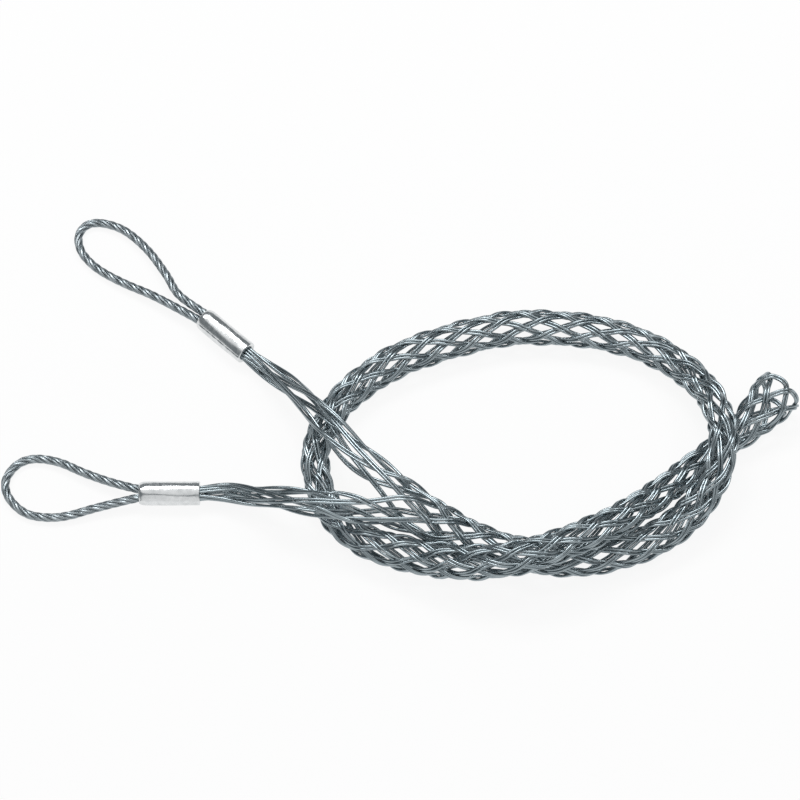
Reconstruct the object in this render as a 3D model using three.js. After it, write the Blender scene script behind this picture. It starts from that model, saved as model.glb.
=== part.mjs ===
// A double-eye cable pulling grip: a sock woven from doubled galvanised wires, open at its mouth.
// At the other end the strands part into two legs, each pressed into an aluminium ferrule with a
// wire rope eye. It lies coiled on the ground. Units are millimetres, +Z is up, +X is to the right.

import * as THREE from 'three';

// Wires and weave
const WIRE_DIAMETER = 1.4;
const WIRES_SIDE_BY_SIDE = 2;
const STRANDS_EACH_HAND = 6;
const STRANDS_AHEAD_IN_FAN = 1;
const WEAVE_CLEARANCE = 0.3;
const WIRE_LENGTH_PER_TURN = 129;
const SOCK_CROSSINGS = 75;

// Legs
const LEG_BUNDLE_RADIUS = 3.05;
const LEG_CLEARANCE = 0.6;
const LEG_CROSSINGS = 4.5;
const LEG_OPEN_RADIUS = 9.5;
const LEG_FIRST_CROSSING = 15;

// Fan, where the legs part, in crossings before the sock's first point
const FAN_START = 3.4;
const FAN_END = 1;
const FAN_SPACING = 15;
const FAN_FLARE = 0.25;

// Rim of the mouth, in crossings past the sock's last one: a hairpin's places ahead and round
const RIM_ROOM = 1.2;
const HAIRPIN_TURN = [[0.52, 0.56], [0.83, 0.98], [1.03, 1.46], [1.1, 2]];

// Wire rope eyes
const ROPE_DIAMETER = 4.4;
const ROPE_SIDES = 10;
const ROPE_STEPS = 44;
const INSERT_DEPTH = 14;

// Ferrules
const FERRULE_DIAMETER = 12;
const FERRULE_LENGTH = 30;
const FERRULE_SIDES = 24;
const FERRULE_NOSE_RADIUS = 4;
const FERRULE_EDGE_BREAK = 0.3;
const PRESS_CLEARANCE = 0.3;

// The sock's course: x, y, the height of its underside, and its outer radius there
const SOCK_COURSE = [
  [14, -74, 4.5, 11.2], [32, -82, 0.8, 10.2], [50, -88, 0, 9.2], [66, -91.5, 0, 9],
  [83, -93, 0, 9], [100, -91, 0, 9], [113.5, -87, 0, 9], [126.5, -81, 0.5, 9],
  [139, -72.5, 3, 8.8], [149.5, -61, 7.5, 8.4], [156.5, -48.5, 13, 7.9], [159, -34.5, 16.6, 7.6],
  [157, -17.5, 13.5, 7.6], [151, -0.5, 6.5, 7.8], [139.5, 14, 1.5, 8.2], [121, 26.5, 0, 8.6],
  [98.5, 33.5, 0, 9], [76.5, 36, 0, 9.2], [53.5, 35.5, 0, 9.2], [26, 28.5, 0, 9.2],
  [0, 18, 0, 9], [-19.5, 4.5, 0, 8.5], [-33.5, -11.5, 0, 7.8], [-41.5, -31.5, 0, 7.5],
  [-40.5, -48.5, 0, 7.5], [-36, -63, 0, 7.7], [-27.5, -74.5, 0, 8], [-15, -84, 0.5, 8.6],
  [0, -90, 1.5, 9.2], [17, -95.5, 5, 9.3], [34, -100, 11, 9.2], [51, -101.5, 17, 9],
  [65.5, -99, 19.3, 8.8], [80.5, -93, 18.9, 8.6], [96, -85, 17.2, 8.4], [112.5, -74, 14, 8.1],
  [129, -59, 8, 7.8], [145.5, -42.5, 2, 7.6], [160, -29, 0, 7.6], [170, -21.5, 0, 8.6],
  [178, -13.5, 0, 10.8], [185, -6, 0, 12.6], [189.5, -1, 0, 12.6],
];

// The legs' courses, from the ferrule's face to the sock's first crossing: x, y and height
const UPPER_LEG_COURSE = [
  [-77, 23.2, 6], [-66, 13, 6.8], [-54.5, 1, 11.5], [-44.5, -12, 18.4], [-36, -23.5, 21.6],
  [-27, -34, 20], [-16.5, -43.5, 17.5], [-5, -51.5, 15.2], [7, -58.5, 13.6], [16.7, -63.8, 12.4],
];
const LOWER_LEG_COURSE = [
  [-98.6, -55.4, 6], [-84.5, -55.4, 6.8], [-70, -59.7, 12], [-56, -65.5, 19.5], [-43, -71.1, 23.5],
  [-30.5, -76, 23.5], [-18, -80.5, 21], [-7, -83.2, 18], [2, -84.3, 15.6], [11.3, -83.9, 13.8],
];

// The eyes' courses, from one end of the rope round to the other: x, y and height
const UPPER_EYE_COURSE = [
  [-111.5, 57, 5.6], [-118.5, 69.5, 4.6], [-128, 84, 3.6], [-139.5, 95.5, 2.9], [-150.5, 100.5, 2.4],
  [-159, 100, 2.3], [-163.5, 94, 2.2], [-162.5, 85.5, 2.2], [-157.5, 78, 2.3], [-150, 71.5, 2.6],
  [-138.5, 64.5, 3.3], [-123.5, 56.5, 4.6],
];
const LOWER_EYE_COURSE = [
  [-143, -48.5, 4.8], [-156, -43, 3.8], [-168, -37, 3], [-178.5, -34.5, 2.5], [-186, -35.5, 2.3],
  [-191.5, -39.5, 2.2], [-195, -46.5, 2.2], [-194, -54, 2.2], [-189, -61, 2.2], [-182, -65.5, 2.3],
  [-172, -67, 2.6], [-162.5, -66, 3.1], [-150, -62.5, 4],
];

// Sizes that follow
const STRAND_WIDTH = WIRE_DIAMETER * WIRES_SIDE_BY_SIDE;
const WEAVE_LIFT = (WIRE_DIAMETER + WEAVE_CLEARANCE) / 2;
const LEG_LIFT = (WIRE_DIAMETER + LEG_CLEARANCE) / 2;
const WEAVE_DEPTH = WEAVE_LIFT + WIRE_DIAMETER / 2;
const STRAND_PITCH = 2 * Math.PI / STRANDS_EACH_HAND;
const TURN_PER_CROSSING = STRAND_PITCH / 2;
const SAMPLES_PER_POINT = 40;
const UP = new THREE.Vector3(0, 0, 1);

const GALVANISED = { color: 0x8b9394, metalness: 0.9, roughness: 0.35 };
const STEEL_ROPE = { color: 0x7f8887, metalness: 0.9, roughness: 0.4 };
const ALUMINIUM = { color: 0xd9dcdd, metalness: 0.9, roughness: 0.3 };

const mix = THREE.MathUtils.lerp;
const smooth = (x) => THREE.MathUtils.smoothstep(x, 0, 1);

// A course is a smooth curve through its points, measured by length, with level sides.
class Course {
  constructor(points, radii = points.map(() => 0)) {
    const route = new THREE.CatmullRomCurve3(points.map((p) => new THREE.Vector3(...p)), false, 'catmullrom');
    const girth = new THREE.CatmullRomCurve3(radii.map((r) => new THREE.Vector3(r, 0, 0)), false, 'catmullrom');
    const count = (points.length - 1) * SAMPLES_PER_POINT;
    this.places = [];
    this.radii = [];
    this.lengths = [0];
    for (let k = 0; k <= count; k += 1) {
      this.places.push(route.getPoint(k / count));
      this.radii.push(girth.getPoint(k / count).x);
      if (k > 0) this.lengths.push(this.lengths[k - 1] + this.places[k].distanceTo(this.places[k - 1]));
    }
    this.length = this.lengths[count];
  }

  // The place, the heading, the left and the up direction and the radius at a length along it.
  // Before its start and past its end the course runs on straight.
  at(length) {
    const last = this.lengths.length - 1;
    const inside = THREE.MathUtils.clamp(length, 0, this.length);
    let k = this.lengths.findIndex((each) => each >= inside);
    k = THREE.MathUtils.clamp(k, 1, last);
    const share = (inside - this.lengths[k - 1]) / (this.lengths[k] - this.lengths[k - 1]);
    const heading = this.places[Math.min(k + 1, last)].clone().sub(this.places[Math.max(k - 2, 0)]).normalize();
    const place = this.places[k - 1].clone().lerp(this.places[k], share);
    place.addScaledVector(heading, length - inside);
    const left = UP.clone().cross(heading).normalize();
    const up = heading.clone().cross(left);
    return { place, heading, left, up, radius: mix(this.radii[k - 1], this.radii[k], share) };
  }
}

const around = (frame, angle) => frame.left.clone().multiplyScalar(Math.cos(angle))
  .addScaledVector(frame.up, Math.sin(angle));

// The sock's crossings: each strand advances by one crossing while it turns by half a pitch, and
// the wire's length per turn stays the same where the sock is stretched thin or pushed wide.
const sock = new Course(
  SOCK_COURSE.map(([x, y, lift, radius]) => [x, y, lift + radius]),
  SOCK_COURSE.map(([, , , radius]) => radius - WEAVE_DEPTH),
);

function countCrossings() {
  const shares = [0];
  for (let k = 1; k < sock.lengths.length; k += 1) {
    const girth = Math.PI * (sock.radii[k - 1] + sock.radii[k]);
    const lead = Math.sqrt(WIRE_LENGTH_PER_TURN ** 2 - girth ** 2);
    shares.push(shares[k - 1] + (sock.lengths[k] - sock.lengths[k - 1]) / lead);
  }
  return shares.map((share) => share / shares.at(-1) * (SOCK_CROSSINGS + RIM_ROOM));
}

const CROSSINGS = countCrossings();

// The length along the sock at which a strand has made so many crossings.
function sockLength(crossings) {
  if (crossings < 0) return crossings * FAN_SPACING;
  let k = CROSSINGS.findIndex((each) => each > crossings);
  if (k < 0) k = CROSSINGS.length - 1;
  k = Math.max(k, 1);
  const share = (crossings - CROSSINGS[k - 1]) / (CROSSINGS[k] - CROSSINGS[k - 1]);
  return mix(sock.lengths[k - 1], sock.lengths[k], share);
}

// A leg: three strands of each hand, closed to a small round weave of its own.
class Leg {
  constructor(points, centre) {
    this.face = new THREE.Vector3(...points[0]);
    this.level = new THREE.Vector3(...points[1]).sub(this.face).setZ(0).normalize();
    const inFerrule = this.face.clone().addScaledVector(this.level, -INSERT_DEPTH);
    this.course = new Course([inFerrule.toArray(), ...points]);
    this.centre = centre;
    const spare = this.course.length - INSERT_DEPTH - LEG_FIRST_CROSSING * LEG_CROSSINGS;
    this.stretch = spare / LEG_CROSSINGS ** 2;
  }

  // A strand's ring direction and middle surface place in the leg, at a phase before the sock.
  ring(phase, angle) {
    const crossings = Math.min(-phase, LEG_CROSSINGS);
    const back = LEG_FIRST_CROSSING * crossings + this.stretch * crossings ** 2;
    const inFerrule = Math.max(-phase - LEG_CROSSINGS, 0) * INSERT_DEPTH;
    const frame = this.course.at(this.course.length - back - inFerrule);
    const out = around(frame, this.centre + 2 * (angle - this.centre));
    const radius = mix(LEG_OPEN_RADIUS, LEG_BUNDLE_RADIUS, crossings / LEG_CROSSINGS);
    return { out, middle: frame.place.clone().addScaledVector(out, radius) };
  }
}

// Before its first point the opened sock grows wider, crossing by crossing, but no higher.
function sockRing(phase, angle) {
  const frame = sock.at(sockLength(phase));
  const flare = 1 + FAN_FLARE * Math.max(-phase, 0);
  const across = frame.left.clone().multiplyScalar(Math.cos(angle));
  const upright = frame.up.clone().multiplyScalar(Math.sin(angle));
  const middle = frame.place.clone()
    .addScaledVector(across, frame.radius * flare)
    .addScaledVector(upright, frame.radius);
  return { out: across.divideScalar(flare).add(upright).normalize(), middle };
}

// Over at even crossings and under at odd ones for a right-handed strand, the other way round for a
// left-handed one, and level inside the ferrule.
function weaveLift(phase, hand) {
  if (phase < -LEG_CROSSINGS) return 0;
  const lift = phase <= 0 ? LEG_LIFT : WEAVE_LIFT;
  return hand * lift * Math.cos(Math.PI * phase);
}

function strandPoint(leg, number, hand, phase) {
  const turning = Math.max(phase, -LEG_CROSSINGS);
  const angle = number * STRAND_PITCH + hand * turning * TURN_PER_CROSSING;
  const onSock = sockRing(phase, angle);
  const share = smooth((phase + FAN_START) / (FAN_START - FAN_END));
  const ring = share >= 1 ? onSock : leg.ring(phase, angle);
  const out = ring.out.clone().lerp(onSock.out, share).normalize();
  const middle = ring.middle.clone().lerp(onSock.middle, share);
  return { middle: middle.addScaledVector(out, weaveLift(phase, hand)), out };
}

// The half of a hairpin at the rim: it goes on past the last crossing, crosses the next hairpin's
// half of the other hand, and turns level to meet its own other half.
function hairpin(number, hand) {
  const turn = HAIRPIN_TURN.at(-1)[1];
  return HAIRPIN_TURN.map(([ahead, round]) => {
    const frame = sock.at(sockLength(SOCK_CROSSINGS + ahead));
    const atTurn = round === turn;
    const gap = atTurn ? WEAVE_CLEARANCE / 2 / frame.radius : 0;
    const angle = number * STRAND_PITCH + hand * ((SOCK_CROSSINGS + round) * TURN_PER_CROSSING - gap);
    const out = around(frame, angle);
    const heading = atTurn ? frame.heading.clone().cross(out).multiplyScalar(hand) : null;
    const lift = atTurn ? 0 : weaveLift(SOCK_CROSSINGS + round, hand);
    return { middle: frame.place.clone().addScaledVector(out, frame.radius + lift), out, heading };
  });
}

function strandPhases() {
  const phases = [-LEG_CROSSINGS - 1];
  for (let phase = -LEG_CROSSINGS; phase < 0; phase += 0.5) phases.push(phase);
  for (let phase = 0; phase <= SOCK_CROSSINGS; phase += 1) phases.push(phase);
  return phases;
}

// Carries a section along stations and closes both ends. A station has its middle, the direction
// out of the surface it lies in and, at a hairpin's turn, its heading. A section point is [across,
// out]. The hand turns each side's diagonal, so that both hands of the weave have the same shape.
function sweep(stations, section, hand = 1) {
  const sides = section.length;
  const last = stations.length - 1;
  const positions = [];
  stations.forEach(({ middle, out, heading }, k) => {
    const before = stations[Math.max(k - 1, 0)].middle;
    const after = stations[Math.min(k + 1, last)].middle;
    const along = heading ?? after.clone().sub(before).normalize();
    const across = along.clone().cross(out).normalize();
    const outward = across.clone().cross(along);
    section.forEach(([x, y]) => {
      const corner = middle.clone().addScaledVector(across, x).addScaledVector(outward, y);
      positions.push(corner.x, corner.y, corner.z);
    });
  });
  const faces = [];
  for (let k = 0; k < last; k += 1) {
    for (let side = 0; side < sides; side += 1) {
      const a = k * sides + side;
      const b = k * sides + (side + 1) % sides;
      if (hand > 0) faces.push(a, a + sides, b, b, a + sides, b + sides);
      else faces.push(a, a + sides, b + sides, a, b + sides, b);
    }
  }
  const end = last * sides;
  for (let side = 1; side < sides - 1; side += 1) {
    faces.push(0, side, side + 1, end, end + side + 1, end + side);
  }
  const geometry = new THREE.BufferGeometry();
  geometry.setAttribute('position', new THREE.Float32BufferAttribute(positions, 3));
  geometry.setIndex(faces);
  geometry.computeVertexNormals();
  return geometry;
}

// Two wires side by side, drawn as one lozenge that is as wide as both and as thick as one.
const STRAND_SECTION = [
  [STRAND_WIDTH / 2, 0], [0, WIRE_DIAMETER / 2], [-STRAND_WIDTH / 2, 0], [0, -WIRE_DIAMETER / 2],
];

function strandGeometry(leg, number, hand) {
  const stations = strandPhases().map((phase) => strandPoint(leg, number, hand, phase));
  return sweep(stations.concat(hairpin(number, hand)), STRAND_SECTION, hand);
}

// The ferrule's own axis runs from the leg's face, at 0, to its nose. The bore is stepped: wide
// enough for two ropes side by side at the nose, and for the ring of strands at the face.
const ROPE_OFFSET = (ROPE_DIAMETER + PRESS_CLEARANCE) / 2;
const ROPE_BORE = ROPE_OFFSET + ROPE_DIAMETER / 2 + PRESS_CLEARANCE;
const STRAND_BORE = LEG_BUNDLE_RADIUS + WIRE_DIAMETER / 2 + PRESS_CLEARANCE;

function ferruleGeometry() {
  const radius = FERRULE_DIAMETER / 2;
  const step = INSERT_DEPTH + PRESS_CLEARANCE;
  const nose = [0, 30, 60, 85].map((degrees) => {
    const angle = THREE.MathUtils.degToRad(degrees);
    const drop = (radius - ROPE_BORE) * (1 - Math.cos(angle));
    const height = FERRULE_LENGTH - FERRULE_NOSE_RADIUS * (1 - Math.sin(angle));
    return new THREE.Vector2(radius - drop, height);
  });
  const profile = [
    new THREE.Vector2(STRAND_BORE, 0),
    new THREE.Vector2(radius - FERRULE_EDGE_BREAK, 0),
    new THREE.Vector2(radius, FERRULE_EDGE_BREAK),
    ...nose,
    new THREE.Vector2(ROPE_BORE, FERRULE_LENGTH),
    new THREE.Vector2(ROPE_BORE, step + PRESS_CLEARANCE),
    new THREE.Vector2(STRAND_BORE, step),
    new THREE.Vector2(STRAND_BORE, 0),
  ];
  const halfSide = Math.PI / FERRULE_SIDES;
  return new THREE.LatheGeometry(profile, FERRULE_SIDES, halfSide);
}

// An eye: the rope leaves one side of the ferrule's bore, goes round and comes back beside itself.
function eyeGeometry(leg, points) {
  const back = leg.level.clone().negate();
  const side = UP.clone().cross(back);
  const inside = (depth, sign) => leg.face.clone()
    .addScaledVector(back, FERRULE_LENGTH - depth)
    .addScaledVector(side, sign * ROPE_OFFSET);
  const start = [inside(INSERT_DEPTH, -1), inside(INSERT_DEPTH / 2, -1), inside(0, -1)];
  const finish = [inside(0, 1), inside(INSERT_DEPTH / 2, 1), inside(INSERT_DEPTH, 1)];
  const route = [...start, ...points.map((p) => new THREE.Vector3(...p)), ...finish];
  const course = new Course(route.map((p) => p.toArray()));
  const stations = [];
  for (let k = 0; k <= ROPE_STEPS; k += 1) {
    const frame = course.at(course.length * k / ROPE_STEPS);
    stations.push({ middle: frame.place, out: frame.up });
  }
  const section = [];
  for (let side = 0; side < ROPE_SIDES; side += 1) {
    const angle = 2 * Math.PI * side / ROPE_SIDES;
    section.push([ROPE_DIAMETER / 2 * Math.cos(angle), ROPE_DIAMETER / 2 * Math.sin(angle)]);
  }
  return sweep(stations, section);
}

function piece(name, geometry, look) {
  const mesh = new THREE.Mesh(geometry, new THREE.MeshStandardMaterial(look));
  mesh.name = name;
  return mesh;
}

const grip = new THREE.Group();

// Each leg takes the strands that lie on its own side of the opened sock. They are ahead of the
// leg's middle, in their own hand's way round, by the time they have gathered into the sock.
const LEGS = [
  { side: 'upper', course: UPPER_LEG_COURSE, eye: UPPER_EYE_COURSE, middle: 0 },
  { side: 'lower', course: LOWER_LEG_COURSE, eye: LOWER_EYE_COURSE, middle: STRANDS_EACH_HAND / 2 },
];

for (const { side, course, eye, middle } of LEGS) {
  const leg = new Leg(course, middle * STRAND_PITCH);
  const ferrule = piece(`ferrule_${side}`, ferruleGeometry(), ALUMINIUM);
  ferrule.position.copy(leg.face);
  ferrule.quaternion.setFromUnitVectors(new THREE.Vector3(0, 1, 0), leg.level.clone().negate());
  grip.add(ferrule);
  grip.add(piece(`eye_rope_${side}`, eyeGeometry(leg, eye), STEEL_ROPE));
  for (const [name, hand] of [['right', 1], ['left', -1]]) {
    for (let k = 1; k <= STRANDS_EACH_HAND / 2; k += 1) {
      const number = middle + hand * STRANDS_AHEAD_IN_FAN + k - 2;
      grip.add(piece(`strand_${side}_${name}_${k}`, strandGeometry(leg, number, hand), GALVANISED));
    }
  }
}

// The origin is on the ground, under the middle of the whole grip.
const extent = new THREE.Box3().setFromObject(grip, true);
const middle = extent.getCenter(new THREE.Vector3());
grip.position.set(-middle.x, -middle.y, -extent.min.z);

export default grip;
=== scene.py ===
# %% [markdown]
# # A cable pulling grip
# The object is a sock woven from doubled steel wires, lying in a loose coil. A cable goes into its
# open mouth, and the sock closes on it when the grip is pulled by its two wire rope eyes. This
# notebook dresses the exact model: every wire is drawn by itself, so the weave looks woven.

# %% Load the exact model and keep its box
import math

import bpy
import numpy as np
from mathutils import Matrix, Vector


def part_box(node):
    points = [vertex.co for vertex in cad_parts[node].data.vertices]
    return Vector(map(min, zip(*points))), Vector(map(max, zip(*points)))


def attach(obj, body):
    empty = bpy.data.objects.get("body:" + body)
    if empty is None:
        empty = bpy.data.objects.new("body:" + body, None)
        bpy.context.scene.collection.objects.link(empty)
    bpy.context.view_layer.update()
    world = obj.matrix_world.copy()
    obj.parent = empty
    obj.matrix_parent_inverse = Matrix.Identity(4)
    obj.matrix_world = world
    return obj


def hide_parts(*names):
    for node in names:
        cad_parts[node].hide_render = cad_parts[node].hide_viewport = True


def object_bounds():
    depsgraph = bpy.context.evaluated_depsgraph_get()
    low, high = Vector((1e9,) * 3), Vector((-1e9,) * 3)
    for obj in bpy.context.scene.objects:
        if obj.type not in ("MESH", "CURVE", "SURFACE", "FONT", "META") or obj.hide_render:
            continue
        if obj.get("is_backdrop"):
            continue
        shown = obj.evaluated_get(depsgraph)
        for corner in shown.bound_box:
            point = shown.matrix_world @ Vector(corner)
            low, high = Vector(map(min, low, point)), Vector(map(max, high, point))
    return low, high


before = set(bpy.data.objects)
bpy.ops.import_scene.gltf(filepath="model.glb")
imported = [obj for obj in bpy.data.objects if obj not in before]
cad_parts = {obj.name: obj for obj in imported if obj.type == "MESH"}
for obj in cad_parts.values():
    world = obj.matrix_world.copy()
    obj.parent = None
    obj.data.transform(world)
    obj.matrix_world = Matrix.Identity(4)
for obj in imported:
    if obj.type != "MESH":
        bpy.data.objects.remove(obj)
model_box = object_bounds()
MM = 0.001
print("nodes:", len(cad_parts), "box:", [tuple(round(v, 4) for v in c) for c in model_box])

# %% [markdown]
# ## The camera
# The photograph looks down at the coil from about 62 degrees above the ground, from far away: the
# wires at the back are drawn as wide as the wires in front. A long lens at over two metres does
# the same. A wide lens close up would show the same coil, but with its front swollen.

# %% Place the camera: the lens in millimetres, and lengths in metres
ELEVATION = math.radians(62)
DISTANCE = 2.222
LENS = 200
FAR_CLIP = 20
AIM = np.array([-0.0001, 0.0037, 0.0001])

camera = bpy.data.objects.new("camera", bpy.data.cameras.new("camera"))
bpy.context.scene.collection.objects.link(camera)
camera.data.lens = LENS
camera.data.clip_end = FAR_CLIP
camera.location = AIM + DISTANCE * np.array([0, -math.cos(ELEVATION), math.sin(ELEVATION)])
camera.rotation_euler = (math.pi / 2 - ELEVATION, 0, 0)
bpy.context.scene.camera = camera
print("camera at", tuple(round(v, 3) for v in camera.location))

# %% [markdown]
# ## Where everything runs
# The wires, the legs and the eyes follow courses: points in millimetres, the same ones
# that the exact model was made from. They could be drawn as curves in Blender's window, but only
# written down can they be the very same. The exact model was then moved so that its origin is
# under its middle, so one known piece, the lower ferrule, tells how far to move the points.

# %% The sizes of the wires, the weave and the fittings, in millimetres
WIRE_DIAMETER = 1.4
STRANDS_EACH_HAND = 6
WEAVE_CLEARANCE = 0.3
WIRE_LENGTH_PER_TURN = 129
LEG_BUNDLE_RADIUS = 3.05
LEG_CLEARANCE = 0.6
LEG_OPEN_RADIUS = 9.5
LEG_FIRST_CROSSING = 15
FAN_SPACING = 15
# These are counted in crossings, and the flare is a share for each crossing.
SOCK_CROSSINGS = 75
RIM_ROOM = 1.2
LEG_CROSSINGS = 4.5
FAN_START = 3.4
FAN_END = 1
FAN_FLARE = 0.25
# The rope and the ferrules, again in millimetres.
ROPE_DIAMETER = 4.4
INSERT_DEPTH = 14
FERRULE_DIAMETER = 12
FERRULE_LENGTH = 30
FERRULE_NOSE_RADIUS = 4
PRESS_CLEARANCE = 0.3
# What follows from them: how far a strand is lifted out of the weave's middle, how far its outside
# then stands from it, and the angle from one strand to the next.
WEAVE_LIFT = (WIRE_DIAMETER + WEAVE_CLEARANCE) / 2
LEG_LIFT = (WIRE_DIAMETER + LEG_CLEARANCE) / 2
WEAVE_DEPTH = WEAVE_LIFT + WIRE_DIAMETER / 2
PITCH = 2 * math.pi / STRANDS_EACH_HAND

# %% The sock's course: x, y, the height of its underside and its outer radius
SOCK_COURSE = np.array([
    [14, -74, 4.5, 11.2], [32, -82, 0.8, 10.2], [50, -88, 0, 9.2], [66, -91.5, 0, 9],
    [83, -93, 0, 9], [100, -91, 0, 9], [113.5, -87, 0, 9], [126.5, -81, 0.5, 9],
    [139, -72.5, 3, 8.8], [149.5, -61, 7.5, 8.4], [156.5, -48.5, 13, 7.9], [159, -34.5, 16.6, 7.6],
    [157, -17.5, 13.5, 7.6], [151, -0.5, 6.5, 7.8], [139.5, 14, 1.5, 8.2], [121, 26.5, 0, 8.6],
    [98.5, 33.5, 0, 9], [76.5, 36, 0, 9.2], [53.5, 35.5, 0, 9.2], [26, 28.5, 0, 9.2],
    [0, 18, 0, 9], [-19.5, 4.5, 0, 8.5], [-33.5, -11.5, 0, 7.8], [-41.5, -31.5, 0, 7.5],
    [-40.5, -48.5, 0, 7.5], [-36, -63, 0, 7.7], [-27.5, -74.5, 0, 8], [-15, -84, 0.5, 8.6],
    [0, -90, 1.5, 9.2], [17, -95.5, 5, 9.3], [34, -100, 11, 9.2], [51, -101.5, 17, 9],
    [65.5, -99, 19.3, 8.8], [80.5, -93, 18.9, 8.6], [96, -85, 17.2, 8.4], [112.5, -74, 14, 8.1],
    [129, -59, 8, 7.8], [145.5, -42.5, 2, 7.6], [160, -29, 0, 7.6], [170, -21.5, 0, 8.6],
    [178, -13.5, 0, 10.8], [185, -6, 0, 12.6], [189.5, -1, 0, 12.6],
])

# %% The legs' and the eyes' courses: x, y and height
LEG_COURSES = {
    "upper": [
        [-77, 23.2, 6], [-66, 13, 6.8], [-54.5, 1, 11.5], [-44.5, -12, 18.4], [-36, -23.5, 21.6],
        [-27, -34, 20], [-16.5, -43.5, 17.5], [-5, -51.5, 15.2], [7, -58.5, 13.6],
        [16.7, -63.8, 12.4],
    ],
    "lower": [
        [-98.6, -55.4, 6], [-84.5, -55.4, 6.8], [-70, -59.7, 12], [-56, -65.5, 19.5],
        [-43, -71.1, 23.5], [-30.5, -76, 23.5], [-18, -80.5, 21],
        [-7, -83.2, 18], [2, -84.3, 15.6], [11.3, -83.9, 13.8],
    ],
}
EYE_COURSES = {
    "upper": [
        [-111.5, 57, 5.6], [-118.5, 69.5, 4.6], [-128, 84, 3.6], [-139.5, 95.5, 2.9],
        [-150.5, 100.5, 2.4], [-159, 100, 2.3], [-163.5, 94, 2.2], [-162.5, 85.5, 2.2],
        [-157.5, 78, 2.3], [-150, 71.5, 2.6], [-138.5, 64.5, 3.3], [-123.5, 56.5, 4.6],
    ],
    "lower": [
        [-143, -48.5, 4.8], [-156, -43, 3.8], [-168, -37, 3], [-178.5, -34.5, 2.5],
        [-186, -35.5, 2.3], [-191.5, -39.5, 2.2], [-195, -46.5, 2.2], [-194, -54, 2.2],
        [-189, -61, 2.2], [-182, -65.5, 2.3], [-172, -67, 2.6], [-162.5, -66, 3.1],
        [-150, -62.5, 4],
    ],
}

# %% How far the exact model was moved, read from the lower ferrule's middle
ferrule_low, ferrule_high = (np.array(corner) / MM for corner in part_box("ferrule_lower"))
face = np.array(LEG_COURSES["lower"][0])
SHIFT = (ferrule_low + ferrule_high) / 2 - (face - [FERRULE_LENGTH / 2, 0, 0])
print("moved by", SHIFT.round(3), "mm")

# %% [markdown]
# ## Following a course
# A course is a smooth curve through its points. Anything carried along it needs, at each length, a
# place and three directions: ahead, level to the left, and up. Blender's own curves could follow
# the points too, but they don't give these directions. Here arrays of lengths go in and arrays of
# places come out, so a whole wire is worked out in a few lines.


# %% A smooth curve through points, and the directions along it
def through(points, samples=40):
    """Catmull-Rom curve: between the second and third of four points, with t from 0 to 1, it is
    half of 2b + (c - a)t + (2a - 5b + 4c - d)t^2 + (3b - a - 3c + d)t^3."""
    p = np.asarray(points, float)
    p = np.vstack([2 * p[0] - p[1], p, 2 * p[-1] - p[-2]])
    a, b, c, d = (p[k : len(p) - 3 + k, None] for k in range(4))
    t = (np.arange(samples) / samples)[None, :, None]
    curve = (2 * b + (c - a) * t + (2 * a - 5 * b + 4 * c - d) * t**2
             + (3 * b - a - 3 * c + d) * t**3) / 2
    return np.vstack([curve.reshape(-1, p.shape[1]), p[-2]])


def unit(v):
    """Each row divided by its length."""
    return v / np.linalg.norm(v, axis=-1, keepdims=True)


def measured(points):
    """The sampled course, the length up to each sample and the direction ahead at each."""
    curve = through(points)
    steps = np.linalg.norm(np.diff(curve[:, :3], axis=0), axis=1)
    lengths = np.concatenate([[0], np.cumsum(steps)])
    return curve, lengths, unit(np.gradient(curve[:, :3], axis=0))


def along(course, length):
    """Place, ahead, left, up and the course's further columns at each length: read between
    samples, and straight on past the ends."""
    curve, lengths, ahead = course
    inside = np.clip(length, 0, lengths[-1])
    columns = [np.interp(inside, lengths, column) for column in np.hstack([curve, ahead]).T]
    columns = np.array(columns).T
    width = curve.shape[1]
    heading = unit(columns[:, width:])
    place = columns[:, :3] + heading * (length - inside)[:, None]
    left = unit(np.cross([0, 0, 1], heading))
    return place, heading, left, np.cross(heading, left), columns[:, 3:width]


# %% The sock's course, with the middle radius of its weave
sock = measured(np.column_stack([
    SOCK_COURSE[:, :2], SOCK_COURSE[:, 2] + SOCK_COURSE[:, 3], SOCK_COURSE[:, 3] - WEAVE_DEPTH,
]))
print("sock length", round(sock[1][-1]), "mm")

# %% [markdown]
# ## The weave
# Six doubled strands wind one way and six the other. A strand's phase counts its crossings. It
# turns by half a strand's pitch per crossing, and rises and falls like a cosine: over, under,
# over. The wire's length per turn is the same everywhere, so the crossings lie closer where the
# sock is wide. Strands drawn one by one would miss each other here and there, while one formula
# for all of them makes them meet at every crossing.


# %% Count the crossings along the sock
def count_crossings():
    """Crossings up to each sample: the sum of step / lead, scaled to end a set number past the
    first. The lead is the root of wire length per turn squared less girth squared."""
    girth = np.pi * (sock[0][1:, 3] + sock[0][:-1, 3])
    lead = np.sqrt(WIRE_LENGTH_PER_TURN**2 - girth**2)
    share = np.concatenate([[0], np.cumsum(np.diff(sock[1]) / lead)])
    return share / share[-1] * (SOCK_CROSSINGS + RIM_ROOM)


CROSSINGS = count_crossings()


def smooth(x):
    """0 below 0, 1 above 1, and 3x^2 - 2x^3 between."""
    x = np.clip(x, 0, 1)
    return x * x * (3 - 2 * x)


def sock_length(phase):
    """Length along the sock at a phase; before the first crossing the fan's spacing goes on."""
    return np.interp(phase, CROSSINGS, sock[1]) + np.minimum(phase, 0) * FAN_SPACING


print("crossing spacing at the start", round(float(sock[1][1] / CROSSINGS[1]), 2), "mm")


# %% A ring of the sock and a ring of a leg
def turned(left, up, angle):
    """The direction at an angle round a ring: left times cosine plus up times sine."""
    return left * np.cos(angle)[:, None] + up * np.sin(angle)[:, None]


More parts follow.
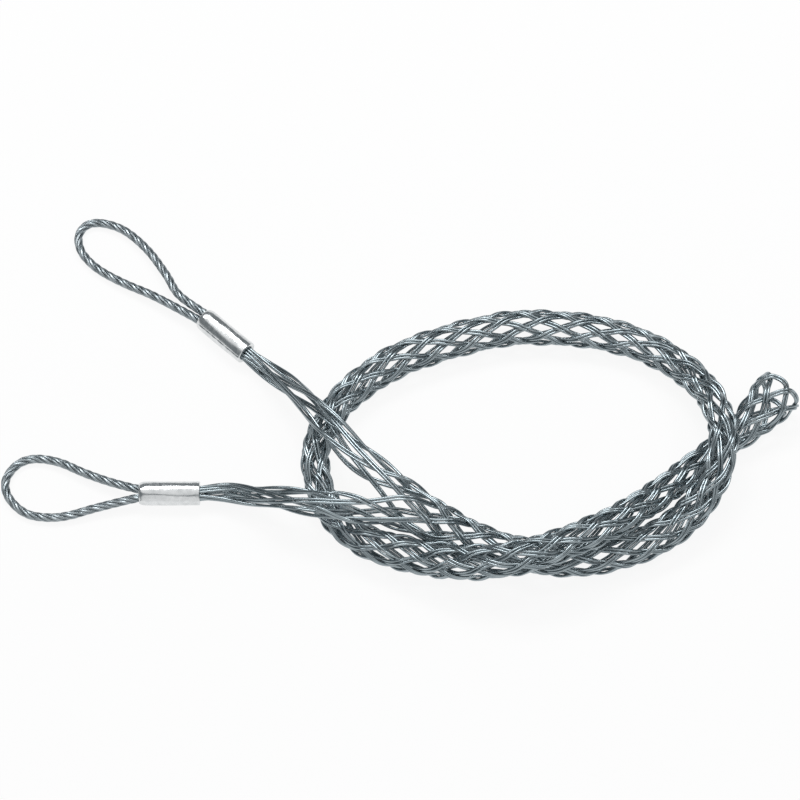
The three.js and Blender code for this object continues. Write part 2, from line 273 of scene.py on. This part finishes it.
def sock_ring(phase, angle):
    """Middle surface of the weave and the direction out of it. Before the sock's first point the
    ring is an ellipse: its width grows by a share for each crossing back, its height stays."""
    place, _, left, up, radius = along(sock, sock_length(phase))
    flare = 1 + FAN_FLARE * np.maximum(-phase, 0)[:, None]
    across, upright = left * np.cos(angle)[:, None], up * np.sin(angle)[:, None]
    return place + (across * flare + upright) * radius, unit(across / flare + upright)


def leg_course(side):
    """The leg's course, which starts level inside its ferrule."""
    points = np.array(LEG_COURSES[side], float)
    level = (points[1] - points[0]) * [1, 1, 0]
    return measured(np.vstack([points[0] - unit(level) * INSERT_DEPTH, points]))


LEGS = {side: leg_course(side) for side in LEG_COURSES}
# The angle round the sock at which each leg's strands leave it.
LEG_MIDDLE = {"upper": 0.0, "lower": math.pi}


def leg_ring(side, phase, angle):
    """Three strands of each hand, closed to a round weave: twice the turn from the leg's middle.
    The crossings lie at first c + stretch c^2 from the sock, so they widen towards the ferrule,
    and the ring's radius goes evenly from open at the sock to closed at the ferrule."""
    course = LEGS[side]
    spare = course[1][-1] - INSERT_DEPTH - LEG_FIRST_CROSSING * LEG_CROSSINGS
    crossings = np.minimum(-phase, LEG_CROSSINGS)
    back = LEG_FIRST_CROSSING * crossings + spare / LEG_CROSSINGS**2 * crossings**2
    deeper = np.maximum(-phase - LEG_CROSSINGS, 0) * INSERT_DEPTH
    place, _, left, up, _ = along(course, course[1][-1] - back - deeper)
    middle = LEG_MIDDLE[side]
    out = turned(left, up, middle + 2 * (angle - middle))
    closed = (crossings / LEG_CROSSINGS)[:, None]
    return place + out * (LEG_OPEN_RADIUS + (LEG_BUNDLE_RADIUS - LEG_OPEN_RADIUS) * closed), out


for side, course in LEGS.items():
    print(side, "leg", round(course[1][-1] - INSERT_DEPTH), "mm to its ferrule")


# %% [markdown]
# ## The strands
# On the real grip each pair of wires runs from a ferrule along the sock, turns back in a hairpin
# at the rim of the mouth and comes home as a strand of the other hand. So six long pairs make the
# twelve strands, and each pair is one piece here. Twelve strands with their ends tucked together
# would need hidden joints at the rim.


# %% One strand, from its ferrule to its last crossing, and the hairpin
def strand(side, number, hand, phase):
    """Between leg and sock the two rings blend. The lift out of the weave is hand times height
    times cosine of pi phase, and it ends where the strand goes into the ferrule."""
    angle = number * PITCH + hand * np.maximum(phase, -LEG_CROSSINGS) * PITCH / 2
    on_sock, sock_out = sock_ring(phase, angle)
    on_leg, leg_out = leg_ring(side, np.minimum(phase, 0), angle)
    share = smooth((phase + FAN_START) / (FAN_START - FAN_END))[:, None]
    out = unit(leg_out + (sock_out - leg_out) * share)
    middle = on_leg + (on_sock - on_leg) * share
    height = WEAVE_LIFT + (LEG_LIFT - WEAVE_LIFT) * smooth(1 - phase)
    lift = hand * height * np.cos(np.pi * phase) * (phase > -LEG_CROSSINGS)
    return middle + out * lift[:, None], out


# The bend's four points a, b, c and d, in crossings ahead and round.
RIM_BEND = np.array([[0, 0], [0.75, 0.75], [1.1, 1.2], [1.1, 2]])


def half_hairpin(number, hand, t):
    """A cubic curve from the last crossing to the turn, in crossings ahead and round:
    (1-t)^3 a + 3(1-t)^2 t b + 3(1-t) t^2 c + t^3 d. It lies over or under the next hairpin where
    they cross, and the lift fades to nothing at the turn."""
    weights = np.array([(1 - t)**3, 3 * (1 - t)**2 * t, 3 * (1 - t) * t**2, t**3]).T
    ahead, rounds = (weights @ RIM_BEND).T
    angle = (number + hand * (SOCK_CROSSINGS + rounds) / 2) * PITCH
    middle, out = sock_ring(SOCK_CROSSINGS + ahead, angle)
    fade = np.cos(np.pi / 2 * np.maximum(rounds - 1, 0))**2
    lift = hand * WEAVE_LIFT * np.cos(np.pi * (SOCK_CROSSINGS + rounds)) * fade
    return middle + out * lift[:, None], out


# %% The whole run of one pair: out, round the hairpin and home
STATIONS_PER_CROSSING = 9
FERRULE_PHASE = -LEG_CROSSINGS - 1
# The leg that each strand of a hand leaves from, and its place there.
RIGHT_STRANDS = {0: ("upper", 1), 1: ("upper", 2), 2: ("upper", 3),
                 3: ("lower", 1), 4: ("lower", 2), 5: ("lower", 3)}
LEFT_STRANDS = {4: ("upper", 1), 5: ("upper", 2), 0: ("upper", 3),
                1: ("lower", 1), 2: ("lower", 2), 3: ("lower", 3)}


def pair_run(number):
    """Places and out directions of the pair that leaves as right-handed strand number."""
    count = int((SOCK_CROSSINGS - FERRULE_PHASE) * STATIONS_PER_CROSSING) + 1
    phase = np.linspace(FERRULE_PHASE, SOCK_CROSSINGS, count)
    back = (number + SOCK_CROSSINGS + 2) % STRANDS_EACH_HAND
    bend = np.linspace(0, 1, 2 * STATIONS_PER_CROSSING + 1)[1:]
    legs = RIGHT_STRANDS[number][0], LEFT_STRANDS[back][0]
    runs = [
        strand(legs[0], number, 1, phase),
        half_hairpin(number, 1, bend),
        tuple(a[::-1] for a in half_hairpin(back, -1, bend[:-1])),
        tuple(a[::-1] for a in strand(legs[1], back, -1, phase)),
    ]
    return np.vstack([r[0] for r in runs]), np.vstack([r[1] for r in runs]), back


for number in RIGHT_STRANDS:
    middle, out, back = pair_run(number)
    steps = np.linalg.norm(np.diff(middle, axis=0), axis=1)
    print("pair", number, "comes home as", back, "length", round(steps.sum()), "mm, widest step",
          round(steps.max(), 2))


# %% [markdown]
# ## From a run to a mesh
# A wire is a circle carried along its run. Blender can bevel a curve into such a tube, but then it
# chooses how the tube is turned, and here a pair has to stay side by side on the weave. So all
# points are one array, station by corner, and one helper puts any such grid into a mesh, with a
# UV map that counts real millimetres round and along, so that marks can follow the wire.


# %% Put grids of points into one mesh
def grid_faces(rows, columns, start):
    """Quads between neighbouring stations, closed round, and the two round ends."""
    here = np.arange(rows - 1)[:, None] * columns + np.arange(columns) + start
    right = np.arange(rows - 1)[:, None] * columns + (np.arange(columns) + 1) % columns + start
    quads = np.stack([here, right, right + columns, here + columns], axis=-1).reshape(-1, 4)
    first = np.arange(columns)[::-1] + start
    last = np.arange(columns) + start + (rows - 1) * columns
    return quads, first, last


def mesh_object(name, points, faces, marks):
    """One smooth object from points in mm, faces, and a UV place for each corner of each face."""
    mesh = bpy.data.meshes.new(name)
    mesh.from_pydata((points + SHIFT) * MM, [], faces)
    uv = mesh.uv_layers.new(name="run")
    uv.data.foreach_set("uv", marks.ravel())
    mesh.polygons.foreach_set("use_smooth", np.ones(len(faces), bool))
    piece = bpy.data.objects.new(name, mesh)
    bpy.context.scene.collection.objects.link(piece)
    return piece


def tube_object(name, grids):
    """One object from closed tubes, each an array of stations by corners by three, in mm."""
    points, faces, marks, start = [], [], [], 0
    for grid in grids:
        rows, columns, _ = grid.shape
        quads, first, last = grid_faces(rows, columns, start)
        faces += quads.tolist() + [first.tolist(), last.tolist()]
        centres = grid.mean(axis=1)
        run = np.concatenate([[0], np.cumsum(np.linalg.norm(np.diff(centres, axis=0), axis=1))])
        girth = np.linalg.norm(grid[0, 1] - grid[0, 0]) * columns
        rounds = np.arange(columns + 1) / columns * girth
        k, c = np.meshgrid(np.arange(rows - 1), np.arange(columns), indexing="ij")
        corners = [(k, c), (k, c + 1), (k + 1, c + 1), (k + 1, c)]
        quad_marks = np.stack([np.stack([rounds[b], run[a]], -1) for a, b in corners], axis=2)
        marks += [quad_marks.reshape(-1, 2), np.zeros((2 * columns, 2))]
        points.append(grid.reshape(-1, 3))
        start += rows * columns
    return mesh_object(name, np.vstack(points), faces, np.vstack(marks))


def sideways(middle, out):
    """Two directions square to a run: across is ahead cross out, outward is across cross ahead."""
    ahead = unit(np.gradient(middle, axis=0))
    across = unit(np.cross(ahead, out))
    return across, np.cross(across, ahead)


def carried(middle, out, corners):
    """A section carried along a run: each corner is a distance across and a distance outward."""
    across, outward = sideways(middle, out)
    return (middle[:, None] + across[:, None] * corners[None, :, :1]
            + outward[:, None] * corners[None, :, 1:])


# %% [markdown]
# ## Unevenness
# Wires laid by a machine and then handled are never quite straight. A displacement modifier would
# dent each wire's skin instead of moving it, so here the course itself wanders: a wire by less
# than a tenth of a millimetre, and a pair as a whole by up to half a millimetre or so.


# %% Draw the twelve wires of the six pairs
WIRE_SIDES = 10
WIRE_GAP = 0.12
# How far a wire wanders to the side and outward, in mm, and the stations from swing to swing.
SIDE_WANDER, SIDE_SPACING = 0.06, 21
RISE_WANDER, RISE_SPACING = 0.08, 26


def circle(radius, sides):
    """Corners of a round section: radius times cosine and sine."""
    angle = 2 * np.pi * np.arange(sides) / sides
    return np.column_stack([radius * np.cos(angle), radius * np.sin(angle)])


# A fixed seed, so that every run draws the same wires.
rng = np.random.default_rng(11)


def wander(count, spacing, height):
    """Smooth unevenness: random heights a set number of stations apart, joined smoothly."""
    knots = rng.uniform(-height, height, int(count / spacing) + 4)
    curve = through(knots[:, None], samples=spacing)[:, 0]
    return curve[:count]


def wire(middle, out, side):
    """One wire of a pair: half a wire and half the gap to the side, wandering slightly."""
    swing = wander(len(middle), SIDE_SPACING, SIDE_WANDER)
    rise = wander(len(middle), RISE_SPACING, RISE_WANDER)
    offset = side * (WIRE_DIAMETER / 2 + WIRE_GAP / 2 + swing)
    across, outward = sideways(middle, out)
    place = middle + across * offset[:, None] + outward * rise[:, None]
    return carried(place, out, circle(WIRE_DIAMETER / 2, WIRE_SIDES))


LOOSENESS, LOOSE_SPACING = 0.55, 30


def loosened(middle, out):
    """The whole pair wanders sideways, as in a sock that has been handled, so no two meshes are
    quite alike. The wandering fades to nothing towards the ferrules, where wires are packed."""
    count = len(middle)
    station = np.arange(count)
    from_end = np.minimum(station, count - 1 - station) / STATIONS_PER_CROSSING
    share = smooth((from_end - 1) / LEG_CROSSINGS)
    across, _ = sideways(middle, out)
    return middle + across * (share * wander(count, LOOSE_SPACING, LOOSENESS))[:, None]


pairs = []
for number in RIGHT_STRANDS:
    middle, out, back = pair_run(number)
    middle = loosened(middle, out)
    piece = tube_object(f"wire_pair_{number + 1}", [wire(middle, out, s) for s in (-1, 1)])
    (side_out, k_out), (side_back, k_back) = RIGHT_STRANDS[number], LEFT_STRANDS[back]
    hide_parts(f"strand_{side_out}_right_{k_out}", f"strand_{side_back}_left_{k_back}")
    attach(piece, "root")
    pairs.append(piece)
print("wire pairs:", len(pairs), "faces each:", len(pairs[0].data.polygons))

# %% [markdown]
# ## The eyes
# Each eye is a wire rope: six strands of fine wires laid round a core. A bump pattern on a plain
# tube would leave its outline smooth, and a mesh for each fine wire would be heavy. So each strand
# is a tube of its own that winds round the eye's course like a screw, and its section is a circle
# with six low lobes, one for each outer wire.

# %% Lay the ropes
# A strand and the core are each a third of the rope across. The two lays are the millimetres in
# which a strand goes round the rope, and a lobe round its strand.
ROPE_STRANDS = 6
ROPE_LAY = 26
STRAND_RADIUS = ROPE_DIAMETER / 6
STRAND_STATIONS, STRAND_CORNERS = 420, 24
CORE_STATIONS, CORE_CORNERS = 160, 10
FLUTES = 6
FLUTE_LAY = 70
GROOVE_DEPTH = 0.27


def ferrule_axis(side):
    """The middle of the ferrule's face and the level direction to its nose."""
    points = np.array(LEG_COURSES[side], float)
    return points[0], -unit((points[1] - points[0]) * [1, 1, 0])


def eye_course(side):
    """Straight into the nose on both sides, and round the eye between."""
    start, back = ferrule_axis(side)
    beside = np.cross([0, 0, 1], back) * (ROPE_DIAMETER + PRESS_CLEARANCE) / 2
    depths = np.array([INSERT_DEPTH, INSERT_DEPTH / 2, 0])[:, None]
    bore = start + back * (FERRULE_LENGTH - depths)
    return measured(np.vstack([bore - beside, EYE_COURSES[side], (bore + beside)[::-1]]))


def rope_strand(course, turn):
    """A helix: centre plus radius times cosine and sine of 2 pi length / lay. The radius of its
    section is the strand's times 1 - groove depth (1 - |cos(flutes / 2 angle)|), so it has a lobe
    for each flute, and the lobes wind round the strand."""
    length = np.linspace(0, course[1][-1], STRAND_STATIONS)
    place, _, left, up, _ = along(course, length)
    out = turned(left, up, turn + 2 * np.pi * length / ROPE_LAY)
    middle = place + out * (ROPE_DIAMETER / 2 - STRAND_RADIUS)
    rounds = 2 * np.pi * np.arange(STRAND_CORNERS) / STRAND_CORNERS
    flute = np.abs(np.cos(FLUTES / 2 * (rounds[None] - 2 * np.pi * length[:, None] / FLUTE_LAY)))
    radius = STRAND_RADIUS * (1 - GROOVE_DEPTH * (1 - flute))
    across, outward = sideways(middle, out)
    return (middle[:, None] + across[:, None] * (radius * np.cos(rounds))[..., None]
            + outward[:, None] * (radius * np.sin(rounds))[..., None])


ropes = []
for side in EYE_COURSES:
    course = eye_course(side)
    turns = 2 * np.pi * np.arange(ROPE_STRANDS) / ROPE_STRANDS
    grids = [rope_strand(course, turn) for turn in turns]
    place, _, _, up, _ = along(course, np.linspace(0, course[1][-1], CORE_STATIONS))
    grids.append(carried(place, up, circle(STRAND_RADIUS, CORE_CORNERS)))
    piece = tube_object(f"eye_{side}", grids)
    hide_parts(f"eye_rope_{side}")
    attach(piece, "root")
    ropes.append(piece)
    print(side, "eye rope", round(course[1][-1]), "mm, faces", len(piece.data.polygons))

# %% [markdown]
# ## The ferrules
# A ferrule is an aluminium tube pressed round the wires and the rope's ends. The die leaves a
# smooth barrel with a rounded nose, a square end towards the mesh, faint lengthwise waves, and a
# low ragged line on both sides where its two halves met. It could be turned with a Screw
# modifier, but one grid of profile by angle also takes the waves and the line, which go round it
# unevenly.


# %% Turn and press the ferrules
# The line's angle is from level, its height in millimetres and its width in radians.
DIE_LINE = math.radians(22)
DIE_LINE_HEIGHT = 0.25
DIE_LINE_WIDTH = 0.07
# The ragged line's lowest share of that height, and the profile steps from one height to the next.
RAGGED_LOWEST, RAGGED_STEPS = 0.3, 3
# The heights of three, five and eleven waves round, and how far the skin lies inside the solid's,
# which leaves room for them.
WAVE_HEIGHTS = (0.05, 0.04, 0.015)
SKIN_INSET = 0.08
OUTSIDE_FROM_RADIUS = 5.5
# The rounded edge at the face and the steps of each stretch of the profile.
EDGE_RADIUS = 0.5
BARREL_START = 1
EDGE_STEPS, BARREL_STEPS, NOSE_STEPS = 7, 39, 14
FERRULE_CORNERS = 180


def ferrule_profile():
    """Distance along the axis and radius: round the edge of the face, along the barrel, round the
    nose and back through the two bores. The edge is radius times sine and cosine. The wider bore
    takes the two ropes side by side, with clearance between and beside them."""
    outer = FERRULE_DIAMETER / 2
    strand_bore = LEG_BUNDLE_RADIUS + WIRE_DIAMETER / 2 + PRESS_CLEARANCE
    rope_bore = ROPE_DIAMETER + PRESS_CLEARANCE / 2 + PRESS_CLEARANCE
    step = INSERT_DEPTH + PRESS_CLEARANCE
    corner = np.linspace(0, np.pi / 2, EDGE_STEPS)[::-1]
    edge = np.column_stack([
        EDGE_RADIUS - EDGE_RADIUS * np.sin(corner),
        outer - EDGE_RADIUS + EDGE_RADIUS * np.cos(corner),
    ])
    barrel = np.column_stack([
        np.linspace(BARREL_START, FERRULE_LENGTH - FERRULE_NOSE_RADIUS, BARREL_STEPS,
                    endpoint=False),
        np.full(BARREL_STEPS, outer),
    ])
    bend = np.linspace(0, np.pi / 2, NOSE_STEPS)
    nose = np.column_stack([
        FERRULE_LENGTH - FERRULE_NOSE_RADIUS * (1 - np.sin(bend)),
        outer - (outer - rope_bore) * (1 - np.cos(bend)),
    ])
    bore = np.array([[step + PRESS_CLEARANCE, rope_bore], [step, strand_bore], [0, strand_bore]])
    return np.vstack([edge, barrel, nose, bore])


def ferrule_grid(side):
    """The profile turned round the axis. Its radius waves by a few hundredths of a millimetre:
    sines of three, five and eleven times the angle, shifted along the axis. Where the two halves
    of the die met it rises in a low line, ragged along its length: height times the exponential
    of minus (angle off the line / width) squared."""
    start, back = ferrule_axis(side)
    beside = np.cross([0, 0, 1], back)
    profile = ferrule_profile()
    angle = 2 * np.pi * np.arange(FERRULE_CORNERS) / FERRULE_CORNERS
    depth, radius = profile[:, :1], profile[:, 1:]
    wide, narrow, fine = WAVE_HEIGHTS
    wave = (wide * np.sin(3 * angle + depth / 9) + narrow * np.sin(5 * angle - depth / 5)
            + fine * np.sin(11 * angle + depth / 2.1) * np.sin(depth / 1.3))
    heights = rng.uniform(RAGGED_LOWEST, 1.0, (len(depth) // RAGGED_STEPS + 2, 1))
    ragged = through(heights, samples=RAGGED_STEPS)[: len(depth)]
    off = (angle - DIE_LINE + np.pi / 2) % np.pi - np.pi / 2
    line = DIE_LINE_HEIGHT * ragged * np.exp(-((off / DIE_LINE_WIDTH) ** 2))
    radius = radius - SKIN_INSET + (wave + line) * (radius > OUTSIDE_FROM_RADIUS)
    return (start + back * depth[..., None]
            + beside * (radius * np.cos(angle))[..., None]
            + np.array([0, 0, 1]) * (radius * np.sin(angle))[..., None])


def ring_object(name, grid):
    """A closed ring of profiles as an object: quads join each corner to the next one round. Its
    UV map counts millimetres round and along the outside."""
    rows, columns, _ = grid.shape
    k = np.arange(rows)[:, None]
    c = np.arange(columns)[None]
    corner = [(k, c), (k, c + 1), (k + 1, c + 1), (k + 1, c)]
    quads = np.stack([a % rows * columns + b % columns for a, b in corner], -1).reshape(-1, 4)
    steps = np.linalg.norm(grid - np.roll(grid, 1, axis=0), axis=2).mean(axis=1)
    run = np.concatenate([[0], np.cumsum(steps[1:]), [steps.sum()]])
    rounds = np.arange(columns + 1) / columns * np.pi * FERRULE_DIAMETER
    marks = [np.stack(np.broadcast_arrays(rounds[b], run[a]), -1) for a, b in corner]
    return mesh_object(name, grid.reshape(-1, 3), quads.tolist(), np.stack(marks, axis=2))


ferrules = []
for side in LEG_COURSES:
    piece = ring_object(f"ferrule_sleeve_{side}", ferrule_grid(side))
    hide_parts(f"ferrule_{side}")
    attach(piece, "root")
    ferrules.append(piece)
    print(piece.name, "faces", len(piece.data.polygons))

# %% [markdown]
# ## Do the faces point outwards?
# A face that points inwards shades wrongly in other programs. Blender's window can show them in
# colour, but a number is easier to check in a script: a closed mesh whose faces point out has a
# positive volume, the sum over its faces of the centre dotted with the area vector, over three.


# %% Measure each piece's volume
def volume(piece):
    """Sum of centre . normal times area / 3, in cubic millimetres."""
    faces = piece.data.polygons
    area, centre, normal = (np.empty(len(faces) * n) for n in (1, 3, 3))
    faces.foreach_get("area", area)
    faces.foreach_get("center", centre)
    faces.foreach_get("normal", normal)
    return float((centre * normal).reshape(-1, 3).sum(axis=1) @ area / 3 / MM**3)


for piece in pairs + ropes + ferrules:
    if volume(piece) < 0:
        piece.data.flip_normals()
    print(piece.name, "volume", round(volume(piece)), "cubic mm")

# %% [markdown]
# ## Finishes
# Three metals: drawn and galvanised steel wire, the same wire laid into rope, and pressed
# aluminium. A single grey with one gloss would look like plastic, so each has two close greys,
# drawn lines and duller patches, all from noise whose scale is a real size. Colours are written
# as sRGB hex, as a colour picker shows them.


# %% Colours and nodes
def colour(code):
    """sRGB hex to linear: c / 12.92 below 0.04045, else ((c + 0.055) / 1.055) to the power 2.4."""
    channels = np.array([int(code[k : k + 2], 16) for k in (1, 3, 5)]) / 255
    linear = np.where(channels < 0.04045, channels / 12.92, ((channels + 0.055) / 1.055) ** 2.4)
    return (*linear.tolist(), 1.0)


def add(tree, kind, inputs=None, **settings):
    """Adds a node with its settings. Each input is a value, or another node's output to link."""
    node = tree.nodes.new(kind)
    for name, value in settings.items():
        setattr(node, name, value)
    for name, value in (inputs or {}).items():
        if isinstance(value, bpy.types.NodeSocket):
            tree.links.new(value, node.inputs[name])
        else:
            node.inputs[name].default_value = value
    return node


def new_material(name):
    """An empty material and its node tree."""
    material = bpy.data.materials.new(name)
    material.use_nodes = True
    material.node_tree.nodes.clear()
    return material, material.node_tree


# The drawn lines are this share as thick as they are long.
LINE_SLENDERNESS = 0.05


def metal(name, dark, light, roughness, spread, grain_mm, draw_mm, bump, dull, patch_mm):
    """A worked metal: two greys mixed by cloudy noise, fine lines drawn along it that change the
    gloss and stand out as a bump, and patches where the gloss is duller."""
    material, tree = new_material(name)
    place = add(tree, "ShaderNodeTexCoord")
    clouds = add(tree, "ShaderNodeTexNoise", {
        "Vector": place.outputs["Object"], "Scale": 1 / (grain_mm * MM), "Detail": 4.0})
    lines_at = add(tree, "ShaderNodeMapping", {
        "Vector": place.outputs["UV"],
        "Scale": (1 / draw_mm, LINE_SLENDERNESS / draw_mm, 1.0)})
    lines = add(tree, "ShaderNodeTexNoise", {
        "Vector": lines_at.outputs["Vector"], "Scale": 1.0, "Detail": 2.0})
    ramp = add(tree, "ShaderNodeMapRange", {
        "Value": clouds.outputs["Fac"], "From Min": 0.3, "From Max": 0.7})
    tone = add(tree, "ShaderNodeMix", {
        "Factor": ramp.outputs["Result"], "A": colour(dark), "B": colour(light)},
        data_type="RGBA")
    gloss = add(tree, "ShaderNodeMapRange", {
        "Value": lines.outputs["Fac"], "From Min": 0.25, "From Max": 0.75,
        "To Min": roughness - spread, "To Max": roughness + spread})
    patches = add(tree, "ShaderNodeTexNoise", {
        "Vector": place.outputs["Object"], "Scale": 1 / (patch_mm * MM), "Detail": 2.0})
    duller = add(tree, "ShaderNodeMapRange", {
        "Value": patches.outputs["Fac"], "From Min": 0.45, "From Max": 0.65, "To Max": dull})
    rough = add(tree, "ShaderNodeMath", {
        0: gloss.outputs["Result"], 1: duller.outputs["Result"]}, operation="ADD")
    relief = add(tree, "ShaderNodeBump", {
        "Height": lines.outputs["Fac"], "Strength": 0.25, "Distance": bump * MM})
    shader = add(tree, "ShaderNodeBsdfPrincipled", {
        "Base Color": tone.outputs["Result"], "Metallic": 1.0,
        "Roughness": rough.outputs[0], "Normal": relief.outputs["Normal"]})
    add(tree, "ShaderNodeOutputMaterial", {"Surface": shader.outputs["BSDF"]})
    return material


# %% The three metals
# Steel wire drawn through a die and coated with zinc. The eye sees a clean bright line along each
# wire, as it was drawn smooth, cool grey that shifts a little from place to place, and short
# duller stretches where the zinc has weathered.
drawn_wire = metal("galvanised drawn steel wire", "#8d989d", "#a3adb1",
                   roughness=0.18, spread=0.03, grain_mm=9.0, draw_mm=0.3, bump=0.003,
                   dull=0.08, patch_mm=8.0)
# The same coated wire, much finer, laid into rope: the gloss is softer, because each glint is
# broken by the next wire.
rope_wire = metal("galvanised rope wire", "#929b9f", "#a7afb3",
                  roughness=0.27, spread=0.04, grain_mm=6.0, draw_mm=0.3, bump=0.004,
                  dull=0.08, patch_mm=3.0)
# Aluminium tube squeezed in a die: bright and pale, with lengthwise rub marks from the die. The
# real marks are finer than a pixel, so they are drawn 0.4 mm apart to show.
pressed = metal("pressed aluminium", "#d0d3d4", "#e6e8e9",
                roughness=0.18, spread=0.06, grain_mm=3.0, draw_mm=0.4, bump=0.03,
                dull=0.12, patch_mm=2.5)
for piece in pairs:
    piece.data.materials.append(drawn_wire)
for piece in ropes:
    piece.data.materials.append(rope_wire)
for piece in ferrules:
    piece.data.materials.append(pressed)
print("materials:", [m.name for m in (drawn_wire, rope_wire, pressed)])

# %% [markdown]
# ## Floor and light
# The floor is plain and pale. The camera and the metal both see it white, yet it still takes the
# object's soft shadow. Metal shows what is around it, and in an even white room it would look like
# grey plastic. So the room is part of the finish: one wide soft box overhead and a white card in
# front give each wire pale bands, the darker walls between them leave grey ones, and three small
# lamps behind it draw the thin bright lines.

# %% The floor: its half width in metres, and the share of white light it sends to the camera
FLOOR_REACH = 6
WHITE_SHARE = 0.9

floor_corners = [(x * FLOOR_REACH, y * FLOOR_REACH, 0) for x, y in
                 ((-1, -1), (1, -1), (1, 1), (-1, 1))]
floor_mesh = bpy.data.meshes.new("floor")
floor_mesh.from_pydata(floor_corners, [], [(0, 1, 2, 3)])
floor = bpy.data.objects.new("floor", floor_mesh)
bpy.context.scene.collection.objects.link(floor)
floor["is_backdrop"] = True
print("floor:", 2 * FLOOR_REACH, "m across")

paper, tree = new_material("white paper floor")
rays = add(tree, "ShaderNodeLightPath")
straight = add(tree, "ShaderNodeMath", {
    0: rays.outputs["Is Camera Ray"], 1: rays.outputs["Is Transmission Ray"]}, operation="ADD")
seen = add(tree, "ShaderNodeMath", {
    0: straight.outputs[0], 1: rays.outputs["Is Glossy Ray"]}, operation="MAXIMUM")
mat = add(tree, "ShaderNodeBsdfDiffuse", {"Color": colour("#f4f4f4")})
glow = add(tree, "ShaderNodeEmission", {"Color": (1.0, 1.0, 1.0, 1.0), "Strength": 1.0})
share = add(tree, "ShaderNodeMath", {0: seen.outputs[0], 1: WHITE_SHARE}, operation="MULTIPLY")
mixed = add(tree, "ShaderNodeMixShader", {
    "Fac": share.outputs[0], 1: mat.outputs["BSDF"], 2: glow.outputs["Emission"]})
add(tree, "ShaderNodeOutputMaterial", {"Surface": mixed.outputs["Shader"]})
floor_mesh.materials.append(paper)

# %% The room: one wide soft box overhead, a white card in front, and darker walls
# Each patch of light has a middle direction, and the cosines of the angles off it at which the
# light starts and is full.
SOFT_BOX = (0.0, 0.04, 1.0), 0.72, 0.84
FRONT_CARD = (0.0, -0.97, 0.25), 0.82, 0.93
WALL_GREY = "#83888b"
ROOM_STRENGTH = 0.88

world = bpy.data.worlds.new("room")
bpy.context.scene.world = world
world.use_nodes = True
tree = world.node_tree
tree.nodes.clear()
direction = add(tree, "ShaderNodeTexCoord")
inside = []
for middle, start, full in (SOFT_BOX, FRONT_CARD):
    toward = add(tree, "ShaderNodeVectorMath", {
        0: direction.outputs["Generated"], 1: middle}, operation="DOT_PRODUCT")
    patch = add(tree, "ShaderNodeMapRange", {
        "Value": toward.outputs["Value"], "From Min": start, "From Max": full},
        interpolation_type="SMOOTHSTEP")
    inside.append(patch.outputs["Result"])
lit = add(tree, "ShaderNodeMath", dict(enumerate(inside)), operation="MAXIMUM")
light = add(tree, "ShaderNodeMix", {
    "Factor": lit.outputs[0], "A": colour(WALL_GREY), "B": colour("#ffffff")},
    data_type="RGBA")
room = add(tree, "ShaderNodeBackground", {
    "Color": light.outputs["Result"], "Strength": ROOM_STRENGTH})
add(tree, "ShaderNodeOutputWorld", {"Surface": room.outputs["Background"]})
print("room:", len(inside), "patches of light at strength", ROOM_STRENGTH)


# %% The lamps that draw the bright lines
def panel(name, place, width, height, watts):
    """A soft lamp at a place, turned to face the middle of the coil."""
    lamp = bpy.data.lights.new(name, "AREA")
    lamp.shape = "RECTANGLE"
    lamp.size, lamp.size_y = width, height
    lamp.energy = watts
    lamp_object = bpy.data.objects.new(name, lamp)
    bpy.context.scene.collection.objects.link(lamp_object)
    lamp_object.location = place
    x, y, z = place
    lamp_object.rotation_euler = (math.atan2(math.hypot(x, y), z), 0, math.atan2(x, -y))
    print(name, "at", place, "with", watts, "W")


panel("back lamp", (-0.1, 0.8, 1.45), width=0.9, height=0.5, watts=10)
panel("left lamp", (-0.95, 0.5, 1.3), width=0.3, height=0.3, watts=2.5)
panel("right lamp", (0.95, 0.4, 1.3), width=0.3, height=0.3, watts=2.5)
bpy.context.scene.view_settings.view_transform = "Standard"

# %% [markdown]
# ## The two boxes
# The dressed object has to fill the same box as the exact model. Both boxes are written down.

# %% Write the two boxes
dressed_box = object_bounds()
for name, (low, high) in (("model", model_box), ("dressed", dressed_box)):
    print(name, [round(v * 1000, 2) for v in low], [round(v * 1000, 2) for v in high])
